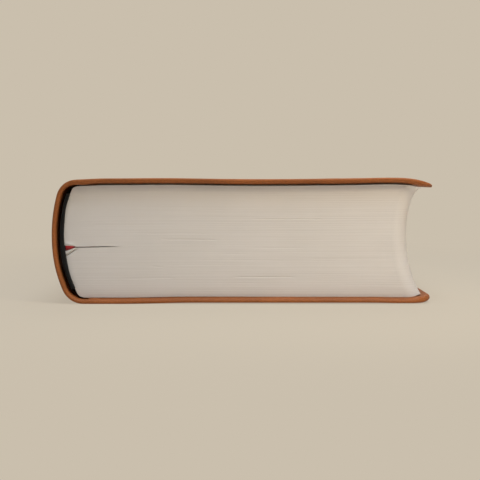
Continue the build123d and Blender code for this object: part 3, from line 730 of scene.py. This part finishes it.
class BOOK_OT_leaves(bpy.types.Operator):
    """Page block: rows of leaf edges fanned along the back, parted where the ribbon lies"""

    bl_idname = "book.leaves"
    bl_label = "Leaves"

    def execute(self, context):
        scene = context.scene
        pages, trim = scene.book_pages, scene.book_trim
        section = Section(scene)
        rand = random.Random(7)
        half = pages.height / 2
        bm = rounded_sheet(0.0, pages.width, pages.height, pages.corner, pages.width)
        near = [0.4, 0.8, 1.4, 2.0, 2.6, 3.2, 4, 5, 6.5, 8, 10, 12, 14, 16, 18, 20, 22, 24]
        xs = [x * MM for x in near] + [(27 + 3 * i) * MM for i in range(31)]
        hang = 2.3 * MM  # width of the last leaves past the endpaper
        bent = 11 * MM  # thickness of the leaves that bend with each cover
        lifted = 2.6 * MM  # thickness of the leaves that the ribbon lifts
        ragged = 0.012 * MM  # unevenness of the trimmed edges
        strips = 36
        ys = [half * (2 * i / strips - 1) for i in range(1, strips)]
        cut(bm, xs, ys + [hang - half, half - hang])
        flat = bm.verts.layers.float_vector.new("flat")
        for v in bm.verts:
            v[flat] = v.co
        cap = bm.faces[:]
        rim = [e for e in bm.edges if e.is_boundary]

        def parted(x, y, side):
            """How far the ribbon holds the leaves above or below it off its middle."""
            open_by = 0.17 * MM * smooth((23 * MM - x) / (9 * MM))
            return open_by + ribbon_fold(trim, x, side) * smooth((-half + 7 * MM - y) / (5 * MM))

        def outward(x, y):
            """Way out of the block at a point of a leaf's outline."""
            way = Vector((0, 0, 0))
            inner = Vector((pages.width - pages.corner, half - pages.corner))
            if x > inner.x and abs(y) > inner.y:
                way = Vector((x - inner.x, math.copysign(abs(y) - inner.y, y), 0)).normalized()
            elif abs(y) > half - SAME:
                way.y = math.copysign(1, y)
            elif x > pages.width - SAME:
                way.x = 1
            elif x < SAME:
                way.x = -1
            return way

        # leaves that stand back from the rest: height, first and last place across and depth, in millimetres
        slits = [(23.4, 35, 57, 0.16), (13.4, 29, 37, 0.12), (31.5, 70, 96, 0.10), (9.4, 60, 84, 0.10)]
        slits += [
            (rand.uniform(5, 41), at, at + rand.uniform(12, 40), rand.uniform(0.01, 0.04))
            for at in (rand.uniform(5, 100) for _ in range(16))
        ]

        def place(v, z, jitter, part, sink, row):
            """Moves a leaf's outline vertex to its place in the block."""
            x, y, _ = v[flat]
            start, end = section.leaf_back(z), section.leaf_edge(z)
            at = start + x * (end - start) / pages.width
            low = max(0.0, at - (section.leaf_edge(section.floor) - pages.curl_length))
            rise = pages.curl_radius - math.sqrt(max(0.0, pages.curl_radius ** 2 - low ** 2))
            lift = rise * max(0.0, 1 - (z - section.floor) / bent) ** 2
            radius = scene.book_case.upper_bend - section.floor
            high = max(0.0, at - section.upper_bend_x)
            fall = radius - math.sqrt(max(0.0, radius ** 2 - high ** 2))
            lift -= fall * max(0.0, 1 - (section.top - z) / bent) ** 2
            # the last leaves rest on the endpaper, and hang over its edges onto the leather
            lift -= 0.27 * MM * math.exp((section.floor - z) / (4 * MM))
            limp = (0.16 + 0.16 * smooth(x / (90 * MM))) * MM
            lift -= limp * math.exp((section.floor - z) / (2 * MM)) * smooth(1 + (abs(y) - half) / hang)
            gap = z - trim.ribbon_height
            side = part or (1 if gap > 0 else -1)
            spread = parted(x, y, side)
            lift += side * spread * math.exp(-abs(gap) / lifted)
            out = outward(x, y)
            push = jitter + ragged * noise.noise(Vector((x * 60, y * 60, row * 0.9)))
            for height, first, last, depth in slits:
                if abs(z - height * MM) < 0.16 * MM and out.y:
                    push -= depth * MM * smooth((x / MM - first) / 5) * smooth((last - x / MM) / 5)
            push -= sink * min(1.0, spread / (0.1 * MM))
            if out.y < 0 and x < 5 * MM:
                # the folded ribbon bulges the leaves above it and splits a few from those below
                over = (z + lift - trim.ribbon_height) / MM
                push += 0.35 * MM * math.exp(-((x / MM - 1.6) / 1.5) ** 2 - ((over - 1.3) / 0.6) ** 2)
                split = -0.3 - 3.0 * max(0.0, 1 - x / (4.6 * MM))
                push -= 0.9 * MM * math.exp(-((over - split) / 0.3) ** 2) * smooth((4.6 - x / MM) / 1.5)
            v.co = section.settle(at, y, z + lift) + out * push

        levels = []
        for i in range(pages.rows + 1):
            z = section.floor + (section.top - section.floor) * i / pages.rows
            rough = 0.0 if i in (0, pages.rows) else rand.uniform(-1, 1) * ragged
            levels.append((z, rough, 0, 0.0))
        slit, deep = trim.ribbon_height, 5 * MM
        levels = [entry for entry in levels if abs(entry[0] - slit) > 0.12 * MM]
        levels += [(slit, 0.0, -1, 0.0), (slit, 0.0, -1, deep), (slit, 0.0, 1, deep), (slit, 0.0, 1, 0.0)]
        order = {(-1, 0.0): 0, (-1, deep): 1, (1, deep): 2, (1, 0.0): 3, (0, 0.0): 0}
        levels.sort(key=lambda entry: (round(entry[0], 7), order[entry[2], entry[3]]))
        for v in bm.verts:
            place(v, *levels[0], 0)
        for row, level in enumerate(levels[1:], 1):
            made = bmesh.ops.extrude_edge_only(bm, edges=rim)["geom"]
            rim = [e for e in made if isinstance(e, bmesh.types.BMEdge) and e.is_boundary]
            for v in {v for e in rim for v in e.verts}:
                place(v, *level, row)
        lid = bmesh.ops.duplicate(bm, geom=cap)["geom"]
        for v in lid:
            if isinstance(v, bmesh.types.BMVert):
                place(v, *levels[-1], len(levels) - 1)
        tops = [f for f in lid if isinstance(f, bmesh.types.BMFace)]
        for face in cap + tops:
            face.material_index = 1
            face.smooth = True
        bmesh.ops.remove_doubles(bm, verts=bm.verts, dist=1e-7)
        bmesh.ops.recalc_face_normals(bm, faces=bm.faces)
        leaf = paper("thin_paper_leaf", pages.leaf_colour, 3 * MM, 0.04)
        block = piece(bm, "leaves", page_edges(pages), leaf)
        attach(block, "pages")
        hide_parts("text_block")
        return {"FINISHED"}


class BOOK_OT_bands(bpy.types.Operator):
    """Corded bands at head and foot: thread wound on a bead along the rounded back, on a cloth tape"""

    bl_idname = "book.bands"
    bl_label = "End bands"

    def execute(self, context):
        scene = context.scene
        pages, trim = scene.book_pages, scene.book_trim
        section = Section(scene)
        back = section.back
        radius = pages.back_radius + trim.lining
        stop = math.radians(2)
        first, last = section.back_angles[0] + stop, section.back_angles[1] - stop
        tape_depth, tape_thickness = 11 * MM, 0.5 * MM
        # the band's near black is the thread's own black with painted shade of the hollow back
        material = cloth("wound_cotton_thread", trim.band_thread_and_shade, 0.5 * MM, 0.75, 0.15)
        for name, way in (("head_band", -1), ("tail_band", 1)):
            bm = bmesh.new()
            level = way * (pages.height / 2 + trim.bead)
            out = Vector((math.cos(first), 0, math.sin(first)))
            spot = Vector((back[0], level, back[1])) + out * radius
            turn = Matrix((out, (0, 1, 0), (-math.sin(first), 0, math.cos(first)))).transposed().to_4x4()
            bmesh.ops.create_circle(
                bm, segments=12, radius=trim.bead, cap_ends=False, matrix=Matrix.Translation(spot) @ turn
            )
            tail = level - way * tape_depth
            tape = [
                bm.verts.new(Vector((back[0], y, back[1])) + out * (radius - depth))
                for y, depth in ((level, tape_thickness), (level, 0), (tail, 0), (tail, tape_thickness))
            ]
            for i in range(4):
                bm.edges.new((tape[i], tape[(i + 1) % 4]))
            bmesh.ops.spin(
                bm, geom=bm.verts[:] + bm.edges[:], cent=(back[0], 0, back[1]), axis=(0, -1, 0),
                angle=last - first, steps=360, use_merge=False,
            )
            bmesh.ops.holes_fill(bm, edges=[e for e in bm.edges if e.is_boundary], sides=0)
            for v in bm.verts:
                angle = math.atan2(v.co.z - back[1], v.co.x - back[0]) % math.tau
                core = Vector((back[0] + radius * math.cos(angle), level, back[1] + radius * math.sin(angle)))
                away = v.co - core
                if 0.9 * trim.bead < away.length < 1.1 * trim.bead:
                    around = math.atan2(away.y, Vector((v.co.x - back[0], v.co.z - back[1])).length - radius)
                    wound = math.tau * (angle - first) * radius / trim.thread + around
                    v.co = core + away * (0.95 + 0.07 * math.cos(wound))
                v.co = section.settle(*v.co)
            soften(bm)
            made = piece(bm, f"{name}_cord", material)
            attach(made, "pages")
            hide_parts(name)
        # the lining's near black is the cloth's own black with painted shade of the hollow back
        dress("spine_lining", cloth("glued_mull_cloth", trim.lining_cloth_and_shade, 0.9 * MM, 0.85, 0.1))
        return {"FINISHED"}


class BOOK_OT_ribbon(bpy.types.Operator):
    """Ribbon marker: folded at the head, flat between the leaves, drooping out of the foot"""

    bl_idname = "book.ribbon"
    bl_label = "Ribbon marker"

    def execute(self, context):
        scene = context.scene
        pages, trim = scene.book_pages, scene.book_trim
        section = Section(scene)
        edge = section.leaf_back(trim.ribbon_height)
        half = pages.height / 2
        head = -half - 0.3 * MM
        out = half + trim.exit
        arc = trim.droop * trim.droop_angle
        total = out - head + arc + trim.drop
        bm = bmesh.new()
        bmesh.ops.create_grid(bm, x_segments=1, y_segments=1, size=0.5)
        bmesh.ops.scale(bm, vec=(trim.ribbon_width, total, 1), verts=bm.verts)
        bmesh.ops.translate(bm, vec=(trim.ribbon_width / 2, total / 2, 0), verts=bm.verts)
        thicken(bm, trim.ribbon_thickness)
        bmesh.ops.translate(bm, vec=(0, 0, trim.ribbon_thickness / 2), verts=bm.verts)
        xs = [x * MM for x in (0.15, 0.7, 1.4, 2.2, 3.2, 4.6, 6.4, 8.2, 9.85)]
        ys = [y * MM for y in (0.2, 0.5, 1, 1.6, 2.4, 3.4, 4.6, 6, 8)]
        ys += [(12 + 8 * i) * MM for i in range(24)]
        ys += [out - head + (arc + trim.drop) * i / 24 for i in range(24)]
        cut(bm, xs, sorted(y for y in ys if 0 < y < total))
        layer = bm.loops.layers.uv.new("ribbon")
        for face in bm.faces:
            for loop in face.loops:
                loop[layer].uv = loop.vert.co.xy
        gather = 6 * MM
        for v in bm.verts:
            across, run, thick = v.co
            gathered = smooth((gather - run) / gather)
            setback = trim.ribbon_setback * (1 - gathered) + 0.35 * MM * gathered
            side = 1 if thick > 0 else -1
            thick += side * gathered * ribbon_fold(trim, setback + across, side)
            y = head + run
            # only the fold by the back comes right out to the head, the rest lies further in
            y += 2.6 * MM * gathered * smooth((across - 2.4 * MM) / (1.6 * MM))
            y += 0.45 * MM * gathered * (1 - run / gather) * (abs(thick) / trim.fold_height * 2) ** 2
            z = trim.ribbon_height + thick
            if run > out - head:
                past = run - (out - head)
                turn = min(past / trim.droop, trim.droop_angle)
                drop = max(0.0, past - arc)
                y = out + trim.droop * math.sin(turn) + drop * math.cos(turn)
                z = trim.ribbon_height - trim.droop * (1 - math.cos(turn)) - drop * math.sin(turn)
                cup = 0.35 * MM * smooth(past / (10 * MM)) * math.sin(math.pi * across / trim.ribbon_width)
                y += (thick + cup) * math.sin(turn)
                z += (thick + cup) * math.cos(turn)
            v.co = section.settle(edge + setback + across, y, z)
        soften(bm)
        made = piece(bm, "ribbon", satin(trim))
        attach(made, "pages")
        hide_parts("ribbon_marker")
        return {"FINISHED"}


def looked_at(tree):
    """1 where the backdrop is seen, also mirrored or through something clear, 0 where it lights the book."""
    path = add(tree, "LightPath")
    seen = path.outputs["Is Camera Ray"]
    for ray in ("Is Glossy Ray", "Is Transmission Ray"):
        seen = add(tree, "Math", {0: seen, 1: path.outputs[ray]}, operation="MAXIMUM").outputs["Value"]
    return seen


class BOOK_OT_stage(bpy.types.Operator):
    """Camera, beige floor and backdrop, warm lamp at the front right, cool one above, soft one behind"""

    bl_idname = "book.stage"
    bl_label = "Stage"

    def execute(self, context):
        scene = context.scene
        stage = scene.book_stage
        head = Section(scene).height / 2
        lens = bpy.data.cameras.new("camera")
        lens.sensor_width = 36.0
        lens.lens = lens.sensor_width * stage.distance / stage.across
        lens.clip_start = 0.01
        camera = bpy.data.objects.new("camera", lens)
        scene.collection.objects.link(camera)
        camera.location = (stage.centre_x, -head - stage.distance, stage.eye_height)
        aim = Vector((stage.centre_x, -head, stage.centre_z))
        camera.rotation_euler = (aim - camera.location).to_track_quat("-Z", "Y").to_euler()
        scene.camera = camera

        # painted beige where it is looked at or mirrored, evenly so away from the book
        # paler for the light that it throws back
        material, tree, output = surface("painted_floor")
        seen = looked_at(tree)
        coords = add(tree, "TexCoord").outputs["Object"]
        away = add(tree, "VectorMath", {0: coords}, operation="LENGTH")
        far = add(
            tree, "MapRange",
            {"Value": away.outputs["Value"], "From Min": 0.1, "From Max": 0.3, "To Min": 0.75, "To Max": 1.0},
            interpolation_type="SMOOTHSTEP",
        )
        share = add(tree, "Math", {0: seen, 1: far.outputs["Result"]}, operation="MULTIPLY")
        paint = add(
            tree, "Mix", {"Factor": seen, "A": rgba(stage.bounce), "B": rgba(scaled(stage.backdrop, 1.05))},
            data_type="RGBA",
        )
        matt = add(tree, "BsdfDiffuse", {"Color": paint.outputs["Result"]})
        plain = add(tree, "Emission", {"Color": rgba(stage.backdrop), "Strength": 1.0})
        mix = add(tree, "MixShader", {0: share.outputs["Value"], 1: matt.outputs[0], 2: plain.outputs[0]})
        tree.links.new(mix.outputs[0], output.inputs["Surface"])
        bm = bmesh.new()
        bmesh.ops.create_grid(bm, x_segments=1, y_segments=1, size=6.0)
        floor = piece(bm, "floor", material)

        world = bpy.data.worlds.new("studio")
        scene.world = world
        world.use_nodes = True
        tree = world.node_tree
        tree.nodes.clear()
        fill = add(tree, "Background", {"Color": rgba(linear("#E6EFFF")), "Strength": 0.1})
        beige = add(tree, "Background", {"Color": rgba(stage.backdrop), "Strength": 1.0})
        mix = add(tree, "MixShader", {0: looked_at(tree), 1: fill.outputs[0], 2: beige.outputs[0]})
        add(tree, "OutputWorld", {"Surface": mix.outputs[0]})

        # lamps: place, point they face, width in metres, power in watts and colour
        for name, at, aim, size, power, tone in (
            ("key", (0.11, -0.24, 0.19), (0.04, -0.11, 0.02), 0.08, 0.27, "#FFEDD0"),
            ("sky", (0.06, -0.30, 0.80), (0, -0.08, 0.02), 0.40, 4.7, "#E8F2FF"),
            ("back", (0.05, 0.50, 0.60), (0, 0.08, 0.02), 0.60, 2.6, "#FFFAF2"),
        ):
            lamp = bpy.data.lights.new(name, "AREA")
            lamp.size = size
            lamp.energy = power
            lamp.color = linear(tone)
            made = bpy.data.objects.new(name, lamp)
            scene.collection.objects.link(made)
            made.location = at
            made.rotation_euler = (Vector(aim) - made.location).to_track_quat("-Z", "Y").to_euler()

        scene.view_settings.view_transform = "Standard"
        return {"FINISHED"}


class BOOK_PT_panel(bpy.types.Panel):
    """Sizes, colours and pieces of the book"""

    bl_idname = "BOOK_PT_panel"
    bl_label = "Book"
    bl_space_type = "VIEW_3D"
    bl_region_type = "UI"
    bl_category = "Book"

    def draw(self, context):
        column = self.layout.column()
        for name, group in GROUPS.items():
            for key in group.__annotations__:
                column.prop(getattr(context.scene, name), key)
        for operator in OPERATORS:
            column.operator(operator.bl_idname)


GROUPS = {"book_pages": BookPages, "book_case": BookCase, "book_trim": BookTrim, "book_stage": BookStage}
OPERATORS = (BOOK_OT_stage, BOOK_OT_case, BOOK_OT_endpapers, BOOK_OT_leaves, BOOK_OT_bands, BOOK_OT_ribbon)


def register():
    for cls in (*GROUPS.values(), *OPERATORS, BOOK_PT_panel):
        bpy.utils.register_class(cls)
    for name, group in GROUPS.items():
        setattr(bpy.types.Scene, name, PointerProperty(type=group))


def unregister():
    for name in GROUPS:
        delattr(bpy.types.Scene, name)
    for cls in reversed((*GROUPS.values(), *OPERATORS, BOOK_PT_panel)):
        bpy.utils.unregister_class(cls)


def main():
    register()
    bpy.ops.book.stage()
    bpy.ops.book.case()
    bpy.ops.book.endpapers()
    bpy.ops.book.leaves()
    bpy.ops.book.bands()
    bpy.ops.book.ribbon()


if __name__ == "__main__":
    main()
